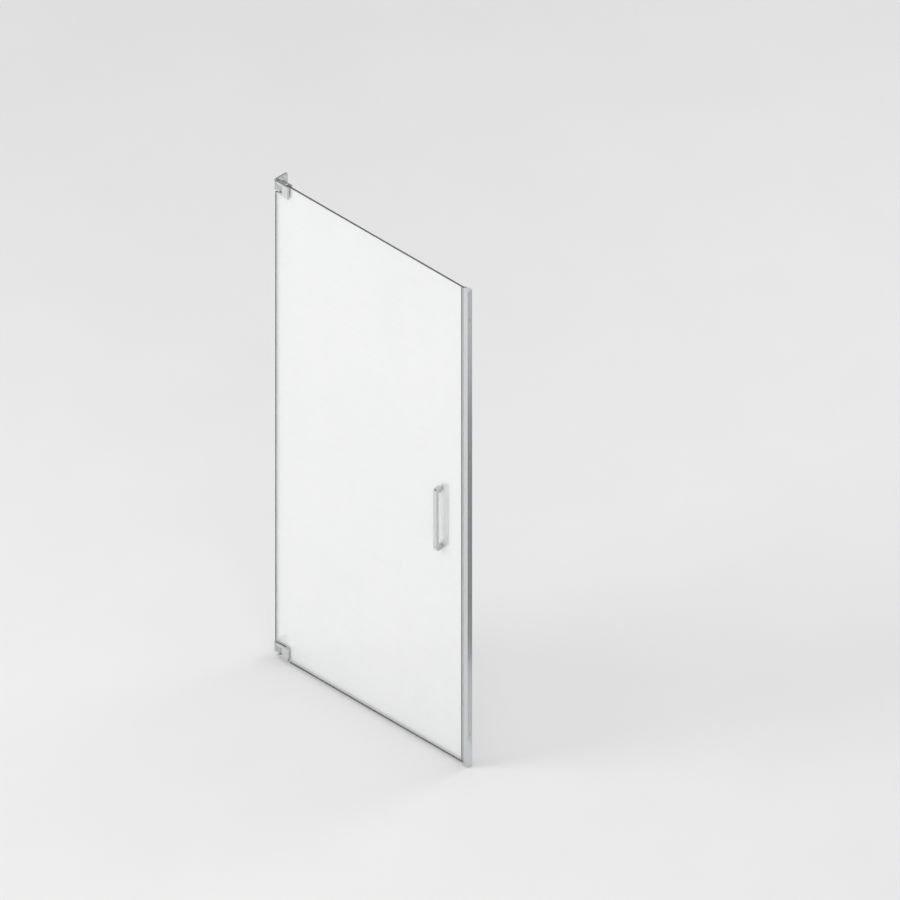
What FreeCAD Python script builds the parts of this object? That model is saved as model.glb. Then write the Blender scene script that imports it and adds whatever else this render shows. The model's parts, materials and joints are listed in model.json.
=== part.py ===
# Pivot shower door: one clear panel on two corner hinges, a pull handle on both
# faces, clip-on seals and a magnetic strike for the closing side.
#
# Millimetres, +Z up. X runs along the closed door, from the hinge wall (X = 0) to the
# strike wall (X = opening_w). Y is square to the door: the outside is -Y, the inside
# +Y, and the glass lies on Y = 0. The pivots stand a little inwards of the glass. The
# origin is on the wall face of the lower hinge plate, at the middle of its height.
import FreeCAD, Part
import Sketcher
import os

doc = FreeCAD.newDocument("pivot_shower_door")
sheet = doc.addObject("Spreadsheet::Sheet", "dims")

ROWS = [
    ("opening_w", 945.0, "wall to wall, across the opening"),
    ("hinge_span", 1940.0, "between the two hinges, centre to centre"),
    ("hinge_half", 25.0, "half the height of a hinge"),
    ("glass_half", 4.0, "half the thickness of the glass"),
    ("glass_left", 6.0, "hinge edge of the glass"),
    ("glass_right", 916.0, "closing edge of the glass"),
    ("glass_low", -25.0, "bottom edge of the glass"),
    ("glass_high", 1963.0, "top edge of the glass"),
    ("notch_right", 58.0, "inner edge of a corner cut-out"),
    ("notch_half", 27.0, "cut-out, from the hinge's middle to its inner edge"),
    ("notch_fillet", 5.0, "radius in the corner of a cut-out"),
    ("arris", 0.5, "ground edge of the glass"),
    ("pivot_x", 34.0, "pivot axis, from the hinge wall"),
    ("pivot_y", 5.0, "pivot axis, inwards from the middle of the glass"),
    ("plate_thick", 5.0, "wall plate"),
    ("plate_half", 23.0, "half the height of a wall plate"),
    ("plate_front", -5.0, "outer edge of a wall plate"),
    ("plate_back", 57.0, "inner edge of a wall plate"),
    ("plate_corner", 6.0, "corner radius of a wall plate"),
    ("plate_edge", 0.7, "edge break on a wall plate"),
    ("wall_hole_a", 28.0, "first column of wall screw holes"),
    ("wall_hole_b", 46.0, "second column of wall screw holes"),
    ("wall_hole_up", 13.0, "wall screw holes, from the hinge's middle"),
    ("wall_hole_rad", 2.75, "wall screw hole"),
    ("wall_sink_rad", 5.2, "countersink of a wall screw hole"),
    ("block_half", 10.0, "half the thickness of a knuckle block, and its nose radius"),
    ("block_up", 15.5, "half the height of a knuckle block"),
    ("block_edge", 0.6, "edge break on a knuckle block"),
    ("bore_rad", 6.02, "bore of a knuckle block"),
    ("bush_rad", 6.0, "outside of a bush"),
    ("bush_len", 12.0, "sleeve of a bush"),
    ("flange_rad", 9.0, "flange of a bush"),
    ("flange_thick", 1.0, "flange of a bush"),
    ("bush_bore", 4.05, "bore of a bush"),
    ("pin_rad", 4.0, "pivot pin"),
    ("pin_half", 23.5, "half the length of a pivot pin"),
    ("arm_gap", 0.3, "between a bush flange and an arm"),
    ("block_screw_up", 9.0, "block screws, from the hinge's middle"),
    ("screw_rad", 2.5, "M5 screws"),
    ("screw_head", 4.8, "head of an M5 countersunk screw"),
    ("screw_clear", 2.7, "clearance hole for an M5 screw"),
    ("block_screw_end", 18.0, "tip of a block screw"),
    ("clamp_left", 15.4, "wall end of the clamp, at the tips of its arms"),
    ("tip_flat", 1.2, "blunt end of an arm's tip"),
    ("mouth_left", 24.0, "where the bevel of an arm's tip begins"),
    ("clamp_right", 73.0, "closing-side edge of a clamp"),
    ("clamp_front", -12.0, "outer face of a clamp"),
    ("clamp_back", 12.0, "inner face of a clamp"),
    ("clamp_notch", 45.2, "end of the clamp's notch, clear of the block"),
    ("lug_back", 14.0, "inner face of an arm"),
    ("lug_round", 7.0, "rounded inner corner of an arm"),
    ("spine_right", 56.0, "end of the solid spine, inside the glass's cut-out"),
    ("lug_up", 24.0, "outer end of the solid part of an arm"),
    ("spine_fillet", 3.5, "corner of the spine, inside the radius of the cut-out"),
    ("clamp_edge", 0.5, "edge break on a clamp"),
    ("gasket_thick", 1.0, "gasket between clamp and glass"),
    ("gasket_left", 58.5, "left edge of a gasket"),
    ("gasket_right", 72.5, "right edge of a gasket"),
    ("gasket_up", 22.5, "half the height of a gasket"),
    ("clamp_screw_x", 51.5, "clamp screws, from the hinge wall"),
    ("clamp_screw_up", 18.5, "clamp screws, from the hinge's middle"),
    ("grub_up", 20.4, "pin grub screws, from the hinge's middle"),
    ("grub_rad", 2.0, "M4 grub screws"),
    ("handle_x", 806.5, "middle of the handle, from the hinge wall"),
    ("handle_mid", 945.0, "middle of the handle's height"),
    ("handle_span", 242.0, "between the handle's two fixings"),
    ("handle_wide", 17.0, "width of the handle"),
    ("end_tall", 18.0, "height of a handle end"),
    ("end_round", 12.0, "rounded corner of a handle end"),
    ("bar_deep", 10.0, "depth of the handle bar"),
    ("handle_out", 31.0, "handle's outer face, from the middle of the glass"),
    ("handle_edge", 0.8, "edge rounding on the handle"),
    ("groove", 0.7, "edge break at the joints of the handle"),
    ("spigot_rad", 3.0, "spigots on the ends of a bar"),
    ("spigot_len", 6.0, "spigots on the ends of a bar"),
    ("stud_rad", 3.0, "M6 studs through the glass"),
    ("stud_half", 19.0, "half the length of a stud"),
    ("handle_hole", 6.0, "hole in the glass for the handle"),
    ("washer_rad", 7.4, "washer between handle and glass"),
    ("washer_thick", 1.0, "washer between handle and glass"),
    ("lip_in", 4.05, "inner face of a seal's legs"),
    ("lip_out", 5.2, "outer face of a seal's legs"),
    ("side_seal_low", 28.0, "bottom end of the hinge-side seal"),
    ("side_seal_tip", 1.2, "fin of the hinge-side seal, from the wall"),
    ("side_seal_leg", 14.0, "end of the hinge-side seal's legs"),
    ("drip_left", 73.8, "left end of the bottom seal"),
    ("drip_right", 909.5, "right end of the bottom seal"),
    ("drip_top", -14.0, "top of the bottom seal's legs"),
    ("drip_low", -36.0, "lip of the bottom seal"),
    ("mag_left", 910.0, "ends of the door magnet seal's legs"),
    ("mag_face", 925.0, "closing face of the door magnet seal"),
    ("strike_face", 925.5, "face of the strike seal"),
    ("strike_left", 926.0, "front edge of the strike profile"),
    ("strike_web", 931.0, "web of the strike profile"),
    ("strike_end", 941.0, "back edge of the strike profile"),
    ("strike_half", 9.3, "half the width of the strike profile"),
    ("chan_left", 929.0, "front edge of the wall channel"),
    ("chan_half", 11.0, "half the width of the wall channel"),
    ("chan_wall", 1.5, "walls of the wall channel"),
    ("chan_base", 1.8, "base of the wall channel"),
    ("chan_low", -36.0, "bottom of the wall channel"),
    ("chan_high", 1963.0, "top of the wall channel"),
    ("cap_thick", 1.0, "end caps"),
    ("chan_hole_rad", 2.5, "wall screw holes in the channel"),
    ("chan_hole_a", 100.0, "outer wall screw holes, first"),
    ("chan_hole_b", 680.0, "inner wall screw holes, first"),
    ("chan_hole_c", 1260.0, "inner wall screw holes, second"),
    ("chan_hole_d", 1840.0, "outer wall screw holes, second"),
    ("adjust_x", 937.0, "adjusting screws, from the hinge wall"),
    ("adjust_low", 200.0, "first adjusting screw"),
    ("adjust_step", 770.0, "between adjusting screws"),
]

VALUE = {}
for i, (alias, value, note) in enumerate(ROWS, start=1):
    sheet.set("A%d" % i, note)
    sheet.set("B%d" % i, str(value))
    sheet.setAlias("B%d" % i, alias)
    VALUE[alias] = value
doc.recompute()


class Size:
    """A number together with the formula that gives it from the sheet."""

    def __init__(self, val, text):
        self.val = float(val)
        self.text = text

    def __add__(self, o):
        o = size(o)
        return Size(self.val + o.val, "(%s + %s)" % (self.text, o.text))

    def __radd__(self, o):
        return size(o) + self

    def __sub__(self, o):
        o = size(o)
        return Size(self.val - o.val, "(%s - %s)" % (self.text, o.text))

    def __rsub__(self, o):
        return size(o) - self

    def __mul__(self, o):
        o = size(o)
        return Size(self.val * o.val, "(%s * %s)" % (self.text, o.text))

    def __rmul__(self, o):
        return size(o) * self

    def __truediv__(self, o):
        o = size(o)
        return Size(self.val / o.val, "(%s / %s)" % (self.text, o.text))

    def __neg__(self):
        return Size(-self.val, "(0 - %s)" % self.text)


def size(o):
    if isinstance(o, Size):
        return o
    if float(o) < 0:
        return Size(o, "(0 - %r)" % -float(o))
    return Size(o, "%r" % float(o))


def d(alias):
    return Size(VALUE[alias], "dims.%s" % alias)


def vec(x, y, z):
    return FreeCAD.Vector(size(x).val, size(y).val, size(z).val)


def bind(obj, prop, value):
    obj.setExpression(prop, size(value).text)


def put(obj, x, y, z, turn=None):
    obj.Placement = FreeCAD.Placement(vec(x, y, z), turn or FreeCAD.Rotation())
    bind(obj, "Placement.Base.x", x)
    bind(obj, "Placement.Base.y", y)
    bind(obj, "Placement.Base.z", z)
    return obj


# A primitive is drawn up its own Z. TURN lays it along another direction.
TURN = {
    "+z": FreeCAD.Rotation(),
    "-z": FreeCAD.Rotation(FreeCAD.Vector(1, 0, 0), 180),
    "+x": FreeCAD.Rotation(FreeCAD.Vector(0, 1, 0), 90),
    "-x": FreeCAD.Rotation(FreeCAD.Vector(0, 1, 0), -90),
    "+y": FreeCAD.Rotation(FreeCAD.Vector(1, 0, 0), -90),
    "-y": FreeCAD.Rotation(FreeCAD.Vector(1, 0, 0), 90),
}


def box(name, x0, x1, y0, y1, z0, z1):
    b = doc.addObject("Part::Box", name)
    bind(b, "Length", size(x1) - x0)
    bind(b, "Width", size(y1) - y0)
    bind(b, "Height", size(z1) - z0)
    return put(b, x0, y0, z0)


def rod(name, way, x, y, z, rad, length):
    c = doc.addObject("Part::Cylinder", name)
    bind(c, "Radius", rad)
    bind(c, "Height", length)
    return put(c, x, y, z, TURN[way])


def cone(name, way, x, y, z, rad_a, rad_b, length):
    c = doc.addObject("Part::Cone", name)
    bind(c, "Radius1", rad_a)
    bind(c, "Radius2", rad_b)
    bind(c, "Height", length)
    return put(c, x, y, z, TURN[way])


def hexagon(name, way, x, y, z, rad, length):
    p = doc.addObject("Part::Prism", name)
    p.Polygon = 6
    bind(p, "Circumradius", rad)
    bind(p, "Height", length)
    return put(p, x, y, z, TURN[way])


def fuse(name, *shapes):
    f = doc.addObject("Part::MultiFuse", name)
    f.Shapes = list(shapes)
    return f


def cut(name, base, *tools):
    c = doc.addObject("Part::Cut", name)
    c.Base = base
    c.Tool = tools[0] if len(tools) == 1 else fuse(name + "_tools", *tools)
    return c


def group(name, shapes):
    g = doc.addObject("Part::Compound", name)
    g.Links = list(shapes)
    return g


def body(name):
    return doc.addObject("PartDesign::Body", name)


def outline(host, name, role, points, offset=0.0):
    """A closed outline on an origin plane of its own body. Every corner is
    held to the sheet by its two coordinates."""
    sk = host.newObject("Sketcher::SketchObject", name)
    plane = [f for f in host.Origin.OriginFeatures if f.Role == role][0]
    sk.AttachmentSupport = (plane, [""])
    sk.MapMode = "FlatFace"
    off = size(offset)
    sk.AttachmentOffset = FreeCAD.Placement(
        FreeCAD.Vector(0, 0, off.val), FreeCAD.Rotation())
    sk.setExpression("AttachmentOffset.Base.z", off.text)
    pts = [(size(a), size(b)) for a, b in points]
    n = len(pts)
    for i in range(n):
        a, b = pts[i], pts[(i + 1) % n]
        sk.addGeometry(Part.LineSegment(
            FreeCAD.Vector(a[0].val, a[1].val, 0), FreeCAD.Vector(b[0].val, b[1].val, 0)))
    for i in range(n):
        sk.addConstraint(Sketcher.Constraint("Coincident", i, 2, (i + 1) % n, 1))
    for i in range(n):
        for kind, axis, q in (("DistanceX", -2, pts[i][0]), ("DistanceY", -1, pts[i][1])):
            if q.val == 0.0:
                sk.addConstraint(Sketcher.Constraint("PointOnObject", i, 1, axis))
            else:
                c = sk.addConstraint(Sketcher.Constraint(kind, -1, 1, i, 1, q.val))
                sk.setExpression("Constraints[%d]" % c, q.text)
    return sk


def pad(host, name, sk, length):
    p = host.newObject("PartDesign::Pad", name)
    p.Profile = sk
    bind(p, "Length", length)
    host.Tip = p
    doc.recompute()
    return p


def dress(host, kind, name, base, pick, amount):
    """A fillet or chamfer on the edges of base that pick() chooses."""
    doc.recompute()
    names = ["Edge%d" % (i + 1) for i, e in enumerate(base.Shape.Edges) if pick(e)]
    if not names:
        raise RuntimeError("no edges for " + name)
    f = host.newObject("PartDesign::" + kind, name)
    f.Base = (base, names)
    bind(f, "Radius" if kind == "Fillet" else "Size", amount)
    host.Tip = f
    doc.recompute()
    return f


def mid(e):
    return e.BoundBox.Center


def runs(e, axis):
    """True for a straight edge along the axis, "x", "y" or "z"."""
    b = e.BoundBox
    spans = {"x": b.XLength, "y": b.YLength, "z": b.ZLength}
    return spans[axis] > 1e-6 and all(v < 1e-6 for k, v in spans.items() if k != axis)


def close(a, b):
    return abs(a - size(b).val) < 1e-4


NODES = []


def node(label, obj, rise=None):
    obj.Label = label
    if rise is not None and rise.val != 0.0:
        bind(obj, "Placement.Base.z", rise)
    NODES.append((label, obj))
    return obj


def sunk_screw(name, way, x, y, z, rad, head, length):
    """Countersunk screw with a hexagon socket. x, y, z is the middle of the flat
    of its head, and way is the direction that it is driven."""
    deep = head - rad
    flat = cone(name + "_head", way, x, y, z, head, rad, deep)
    shank = rod(name + "_shank", way, x, y, z, rad, length)
    key = hexagon(name + "_key", way, x, y, z, size(rad) * 0.68, size(rad) * 0.8)
    return cut(name, fuse(name + "_blank", flat, shank), key)


def grub_screw(name, way, x, y, z, rad, length):
    stem = rod(name + "_stem", way, x, y, z, rad, length)
    key = hexagon(name + "_key", way, x, y, z, size(rad) * 0.57, size(rad) * 0.8)
    return cut(name, stem, key)


# ---------------------------------------------------------------- the two hinges
LOW = size(0.0)
HIGH = d("hinge_span")
half = d("hinge_half")
px = d("pivot_x")
py = d("pivot_y")


def wall_plate(tag, rise):
    # A flat plate with rounded corners. The block stands on its outer part, and the
    # four wall screws go through the part behind it.
    host = body(tag + "_plate_body")
    tall = d("plate_half")
    sk = outline(host, tag + "_plate_outline", "YZ_Plane", [
        (d("plate_front"), -tall), (d("plate_back"), -tall),
        (d("plate_back"), tall), (d("plate_front"), tall)])
    p = pad(host, tag + "_plate_pad", sk, d("plate_thick"))
    p = dress(host, "Fillet", tag + "_plate_corners", p,
              lambda e: runs(e, "x"), d("plate_corner"))
    dress(host, "Chamfer", tag + "_plate_break", p,
          lambda e: close(e.BoundBox.XMin, d("plate_thick")) and close(e.BoundBox.XMax, d("plate_thick")),
          d("plate_edge"))
    tools = []
    for i, y in enumerate((d("wall_hole_a"), d("wall_hole_b"))):
        for j, s in enumerate((-1, 1)):
            z = d("wall_hole_up") * s
            tag2 = "%s_wall_hole_%d%d" % (tag, i, j)
            tools.append(rod(tag2, "+x", -1, y, z, d("wall_hole_rad"), d("plate_thick") + 2))
            tools.append(cone(tag2 + "_sink", "-x", d("plate_thick"), y, z, d("wall_sink_rad"),
                              d("wall_hole_rad"), d("wall_sink_rad") - d("wall_hole_rad")))
    for j, s in enumerate((-1, 1)):
        z = d("block_screw_up") * s
        tag2 = "%s_block_hole_%d" % (tag, j)
        tools.append(rod(tag2, "+x", -1, py, z, d("screw_clear"), d("plate_thick") + 2))
        tools.append(cone(tag2 + "_sink", "+x", 0, py, z, d("screw_head") + 0.4,
                          d("screw_clear"), d("screw_head") + 0.4 - d("screw_clear")))
    node(tag + "_wall_plate", cut(tag + "_plate_cut", host, *tools), rise)


def knuckle_block(tag, rise):
    # Square to the wall plate, with a round nose that is concentric with the pivot,
    # so the clamp turns round it with an even gap.
    up = d("block_up")
    slab = box(tag + "_slab", d("plate_thick"), px, py - d("block_half"), py + d("block_half"), -up, up)
    nose = rod(tag + "_nose", "+z", px, py, -up, d("block_half"), up * 2)
    blank = fuse(tag + "_block_blank", slab, nose)
    blank.Refine = True
    doc.recompute()
    rim = doc.addObject("Part::Chamfer", tag + "_block_break")
    rim.Base = blank
    picked = []
    for i, e in enumerate(blank.Shape.Edges):
        b = e.BoundBox
        flat = b.ZLength < 1e-6 and (close(b.ZMin, up) or close(b.ZMin, -up))
        if flat and not (close(b.XMax, d("plate_thick")) and close(b.XMin, d("plate_thick"))):
            picked.append((i + 1, VALUE["block_edge"], VALUE["block_edge"]))
    rim.Edges = picked
    bore = rod(tag + "_bore", "+z", px, py, -up - 1, d("bore_rad"), up * 2 + 2)
    taps = [rod("%s_block_tap_%d" % (tag, j), "+x", d("plate_thick") - 1, py,
                d("block_screw_up") * s, d("screw_rad") + 0.02,
                d("block_screw_end") + 0.3 - d("plate_thick") + 1) for j, s in enumerate((-1, 1))]
    node(tag + "_knuckle_block", cut(tag + "_block_cut", rim, bore, *taps), rise)


def bush(tag, rise, which, s):
    # A flanged sleeve. Its flange carries the arm of the clamp.
    way = "-z" if s > 0 else "+z"
    face = (d("block_up") + d("flange_thick")) * s
    flange = rod("%s_%s_flange" % (tag, which), way, px, py, face, d("flange_rad"), d("flange_thick"))
    sleeve = rod("%s_%s_sleeve" % (tag, which), way, px, py, face, d("bush_rad"),
                 d("bush_len") + d("flange_thick"))
    bore = rod("%s_%s_hole" % (tag, which), way, px, py, face + size(s), d("bush_bore"),
               d("bush_len") + d("flange_thick") + 2)
    node("%s_bush_%s" % (tag, which),
         cut("%s_%s_bush_cut" % (tag, which), fuse("%s_%s_blank" % (tag, which), flange, sleeve), bore), rise)


def clamp_outer(tag, rise):
    # The C-shaped leaf that shows from outside. Its arms end in bevelled tips. Behind it
    # are one solid with it: the
    # spine, which fills the glass's corner cut-out and takes the clamp screws, and the
    # two arms, which reach round the block and hold the ends of the pivot pin.
    open_up = d("block_up") + d("flange_thick") + d("arm_gap")
    leaf_back = -(d("glass_half") + d("gasket_thick"))
    host = body(tag + "_outer_body")
    sk = outline(host, tag + "_outer_outline", "XZ_Plane", [
        (d("clamp_left"), -half), (d("clamp_right"), -half),
        (d("clamp_right"), half), (d("clamp_left"), half),
        (d("clamp_left"), half - d("tip_flat")), (d("mouth_left"), open_up),
        (d("clamp_notch"), open_up), (d("clamp_notch"), -open_up),
        (d("mouth_left"), -open_up), (d("clamp_left"), d("tip_flat") - half)], -leaf_back)
    p = pad(host, tag + "_outer_pad", sk, leaf_back - d("clamp_front"))
    front = VALUE["clamp_front"]
    dress(host, "Chamfer", tag + "_outer_break", p,
          lambda e: close(e.BoundBox.YMin, front) and close(e.BoundBox.YMax, front),
          d("clamp_edge"))
    arms, tools = [], []
    for j, s in enumerate((-1, 1)):
        z0, z1 = (open_up, d("lug_up")) if s > 0 else (-d("lug_up"), -open_up)
        arm = box("%s_arm_%d" % (tag, j), d("mouth_left"), d("clamp_notch"),
                  leaf_back - 1, d("lug_back"), z0, z1)
        doc.recompute()
        eased = doc.addObject("Part::Fillet", "%s_arm_eased_%d" % (tag, j))
        eased.Base = arm
        eased.Edges = [(i + 1, VALUE["lug_round"], VALUE["lug_round"])
                       for i, e in enumerate(arm.Shape.Edges)
                       if runs(e, "z") and abs(mid(e).y - VALUE["lug_back"]) < 1e-4]
        arms.append(eased)
        tools.append(rod("%s_grub_tap_%d" % (tag, j), "+y", px, py, d("grub_up") * s,
                         d("grub_rad") + 0.02, d("lug_back") - py + 1))
        tools.append(rod("%s_clamp_tap_%d" % (tag, j), "-y", d("clamp_screw_x"), -leaf_back + 1,
                         d("clamp_screw_up") * s, d("screw_rad") + 0.02, size(12.5)))
    spine = box(tag + "_spine", d("clamp_notch"), d("spine_right"), leaf_back - 1, -leaf_back,
                -d("lug_up"), d("lug_up"))
    doc.recompute()
    spine_eased = doc.addObject("Part::Fillet", tag + "_spine_eased")
    spine_eased.Base = spine
    spine_eased.Edges = [(i + 1, VALUE["spine_fillet"], VALUE["spine_fillet"])
                         for i, e in enumerate(spine.Shape.Edges)
                         if runs(e, "y") and abs(mid(e).x - VALUE["spine_right"]) < 1e-4]
    tools.append(rod(tag + "_pin_bore", "+z", px, py, -d("lug_up") - 1, d("pin_rad") + 0.02,
                     d("lug_up") * 2 + 2))
    blank = fuse(tag + "_outer_blank", host, spine_eased, *arms)
    blank.Refine = True
    node(tag + "_clamp_outer", cut(tag + "_outer_cut", blank, *tools), rise)


def clamp_inner(tag, rise):
    # The plate that closes the clamp from the inside. Two screws draw it to the leaf.
    host = body(tag + "_inner_body")
    near = d("glass_half") + d("gasket_thick")
    sk = outline(host, tag + "_inner_outline", "XZ_Plane", [
        (d("clamp_notch") + 0.5, -half), (d("clamp_right"), -half),
        (d("clamp_right"), half), (d("clamp_notch") + 0.5, half)], -d("clamp_back"))
    p = pad(host, tag + "_inner_pad", sk, d("clamp_back") - near)
    back = VALUE["clamp_back"]
    dress(host, "Chamfer", tag + "_inner_break", p,
          lambda e: close(e.BoundBox.YMin, back) and close(e.BoundBox.YMax, back),
          d("clamp_edge"))
    tools = []
    for j, s in enumerate((-1, 1)):
        z = d("clamp_screw_up") * s
        tools.append(rod("%s_inner_hole_%d" % (tag, j), "-y", d("clamp_screw_x"), d("clamp_back") + 1, z,
                         d("screw_clear"), size(8)))
        tools.append(cone("%s_inner_sink_%d" % (tag, j), "-y", d("clamp_screw_x"), d("clamp_back"), z,
                          d("screw_head") + 0.4, d("screw_clear"),
                          d("screw_head") + 0.4 - d("screw_clear")))
    node(tag + "_clamp_inner", cut(tag + "_inner_cut", host, *tools), rise)


def gasket(tag, rise, which, s):
    a = d("glass_half")
    b = a + d("gasket_thick")
    y0, y1 = (a, b) if s > 0 else (-b, -a)
    up = d("gasket_up")
    node("%s_gasket_%s" % (tag, which),
         box("%s_%s_pad" % (tag, which), d("gasket_left"), d("gasket_right"), y0, y1,
             rise - up, rise + up))


for tag, rise in (("lower", LOW), ("upper", HIGH)):
    wall_plate(tag, rise)
    knuckle_block(tag, rise)
    bush(tag, rise, "bottom", -1)
    bush(tag, rise, "top", 1)
    clamp_outer(tag, rise)
    clamp_inner(tag, rise)
    gasket(tag, rise, "outer", -1)
    gasket(tag, rise, "inner", 1)
    pin = rod(tag + "_pin_stem", "+z", px, py, -d("pin_half"), d("pin_rad"), d("pin_half") * 2)
    tip = doc.addObject("Part::Chamfer", tag + "_pin_tips")
    doc.recompute()
    tip.Base = pin
    tip.Edges = [(i + 1, 0.5, 0.5) for i, e in enumerate(pin.Shape.Edges) if e.BoundBox.ZLength < 1e-6]
    node(tag + "_pivot_pin", tip, rise)

block_screws, pin_grubs, clamp_screws = [], [], []
for tag, rise in (("lower", LOW), ("upper", HIGH)):
    for j, s in enumerate((-1, 1)):
        block_screws.append(sunk_screw(
            "%s_block_screw_%d" % (tag, j), "+x", 0.25, py, rise + d("block_screw_up") * s,
            d("screw_rad"), d("screw_head"), d("block_screw_end") - 0.25))
        pin_grubs.append(grub_screw(
            "%s_pin_grub_%d" % (tag, j), "-y", px, d("lug_back") - 0.5, rise + d("grub_up") * s,
            d("grub_rad"), d("lug_back") - 0.5 - py - d("pin_rad") - 0.02))
        clamp_screws.append(sunk_screw(
            "%s_clamp_screw_%d" % (tag, j), "-y", d("clamp_screw_x"), d("clamp_back") - 0.2,
            rise + d("clamp_screw_up") * s, d("screw_rad"), d("screw_head"), size(17.5)))
node("block_screws", group("block_screw_group", block_screws))
node("pin_grub_screws", group("pin_grub_group", pin_grubs))
node("clamp_screws", group("clamp_screw_group", clamp_screws))

# ---------------------------------------------------------------- the glass
gl, gr, gb, gt = d("glass_left"), d("glass_right"), d("glass_low"), d("glass_high")
nr, nh = d("notch_right"), d("notch_half")
host = body("glass_body")
sk = outline(host, "glass_outline", "XZ_Plane", [
    (nr, gb), (gr, gb), (gr, gt), (nr, gt), (nr, HIGH - nh), (gl, HIGH - nh),
    (gl, nh), (nr, nh)], -d("glass_half"))
p = pad(host, "glass_pad", sk, d("glass_half") * 2)
inner_corners = [(VALUE["notch_right"], VALUE["notch_half"]),
                 (VALUE["notch_right"], VALUE["hinge_span"] - VALUE["notch_half"])]
p = dress(host, "Fillet", "glass_notch_radius", p,
          lambda e: runs(e, "y") and any(abs(mid(e).x - x) < 1e-4 and abs(mid(e).z - z) < 1e-4
                                         for x, z in inner_corners), d("notch_fillet"))
dress(host, "Chamfer", "glass_arris", p,
      lambda e: e.BoundBox.YLength < 1e-6, d("arris"))
holes = []
for j, s in enumerate((-1, 1)):
    holes.append(rod("glass_handle_hole_%d" % j, "+y", d("handle_x"), -d("glass_half") - 1,
                     d("handle_mid") + d("handle_span") * (0.5 * s), d("handle_hole"),
                     d("glass_half") * 2 + 2))
node("glass_panel", cut("glass_cut", host, *holes))

# ---------------------------------------------------------------- the handle
hx, hm, hw = d("handle_x"), d("handle_mid"), d("handle_wide")
rise_end = d("handle_span") / 2
joint_up = rise_end - d("end_tall") / 2
tip_up = rise_end + d("end_tall") / 2
seat = d("glass_half") + d("washer_thick")
out = d("handle_out")
bar_mid = out - d("bar_deep") / 2


def handle_end(side, s, level, t):
    # The block that stands on the glass. Its outer corner is rounded, and the bar
    # butts against its inner end.
    name = "%s_handle_%s_end" % (side, level)
    host = body(name + "_body")
    y0, y1 = (seat, out) if s > 0 else (-out, -seat)
    z0, z1 = (hm + joint_up, hm + tip_up) if t > 0 else (hm - tip_up, hm - joint_up)
    sk = outline(host, name + "_outline", "YZ_Plane", [(y0, z0), (y1, z0), (y1, z1), (y0, z1)],
                 hx - hw / 2)
    p = pad(host, name + "_pad", sk, hw)
    y_far = out.val * s
    z_far = (hm.val + tip_up.val) if t > 0 else (hm.val - tip_up.val)
    p = dress(host, "Fillet", name + "_round", p,
              lambda e: runs(e, "x") and abs(mid(e).y - y_far) < 1e-4 and abs(mid(e).z - z_far) < 1e-4,
              d("end_round"))
    dress(host, "Fillet", name + "_soft", p,
          lambda e: not runs(e, "x") and not (
              e.BoundBox.YLength < 1e-6 and abs(mid(e).y - seat.val * s) < 1e-4),
          d("handle_edge"))
    way = "+y" if s > 0 else "-y"
    tools = [
        rod(name + "_stud_bore", way, hx, 0, hm + rise_end * t, d("stud_rad") + 0.02,
            d("stud_half") + 0.5),
        rod(name + "_socket", "+z" if t > 0 else "-z", hx, bar_mid * s, hm + (joint_up - 1) * t,
            d("spigot_rad") + 0.02, d("spigot_len") + 1.3)]
    if s > 0:
        tools.append(rod(name + "_grub_tap", "+x", hx - hw / 2 - 1, size(13), hm + rise_end * t,
                         d("grub_rad") + 0.02, hw / 2 + 1))
    node(name, cut(name + "_cut", host, *tools))


def handle_bar(side, s):
    name = side + "_handle_bar"
    host = body(name + "_body")
    y0, y1 = (out - d("bar_deep"), out) if s > 0 else (-out, d("bar_deep") - out)
    sk = outline(host, name + "_outline", "XY_Plane", [
        (hx - hw / 2, y0), (hx + hw / 2, y0), (hx + hw / 2, y1), (hx - hw / 2, y1)],
        hm - joint_up)
    p = pad(host, name + "_pad", sk, joint_up * 2)
    p = dress(host, "Fillet", name + "_soft", p, lambda e: runs(e, "z"), d("handle_edge"))
    # The ends of the bar are broken like the blocks, so a fine groove marks each joint.
    dress(host, "Chamfer", name + "_groove", p, lambda e: e.BoundBox.ZLength < 1e-6, d("groove"))
    pegs = [rod("%s_peg_%d" % (name, j), "+z" if t > 0 else "-z", hx, bar_mid * s,
                hm + (joint_up - 1) * t, d("spigot_rad"), d("spigot_len") + 1)
            for j, t in enumerate((-1, 1))]
    node(name, fuse(name + "_fuse", host, *pegs))


for side, s in (("outer", -1), ("inner", 1)):
    handle_bar(side, s)
    handle_end(side, s, "top", 1)
    handle_end(side, s, "bottom", -1)

studs, sleeves, washers, grubs = [], [], [], []
for j, t in enumerate((-1, 1)):
    z = hm + rise_end * t
    studs.append(rod("stud_%d" % j, "+y", hx, -d("stud_half"), z, d("stud_rad"), d("stud_half") * 2))
    sleeves.append(cut("sleeve_%d" % j,
                       rod("sleeve_out_%d" % j, "+y", hx, -d("glass_half"), z,
                           d("handle_hole") - 0.1, d("glass_half") * 2),
                       rod("sleeve_in_%d" % j, "+y", hx, -d("glass_half") - 1, z,
                           d("stud_rad") + 0.1, d("glass_half") * 2 + 2)))
    for k, s in enumerate((-1, 1)):
        way = "+y" if s > 0 else "-y"
        washers.append(cut("washer_%d%d" % (j, k),
                           rod("washer_out_%d%d" % (j, k), way, hx, d("glass_half") * s, z,
                               d("washer_rad"), d("washer_thick")),
                           rod("washer_in_%d%d" % (j, k), way, hx, (d("glass_half") - 1) * s, z,
                               d("stud_rad") + 0.1, d("washer_thick") + 2)))
    grubs.append(grub_screw("handle_grub_%d" % j, "+x", hx - hw / 2 + 0.4, size(13), z,
                            d("grub_rad"), hw / 2 - 0.4 - d("stud_rad") - 0.02))
node("handle_studs", group("stud_group", studs))
node("handle_sleeves", group("sleeve_group", sleeves))
node("handle_washers", group("washer_group", washers))
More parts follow.
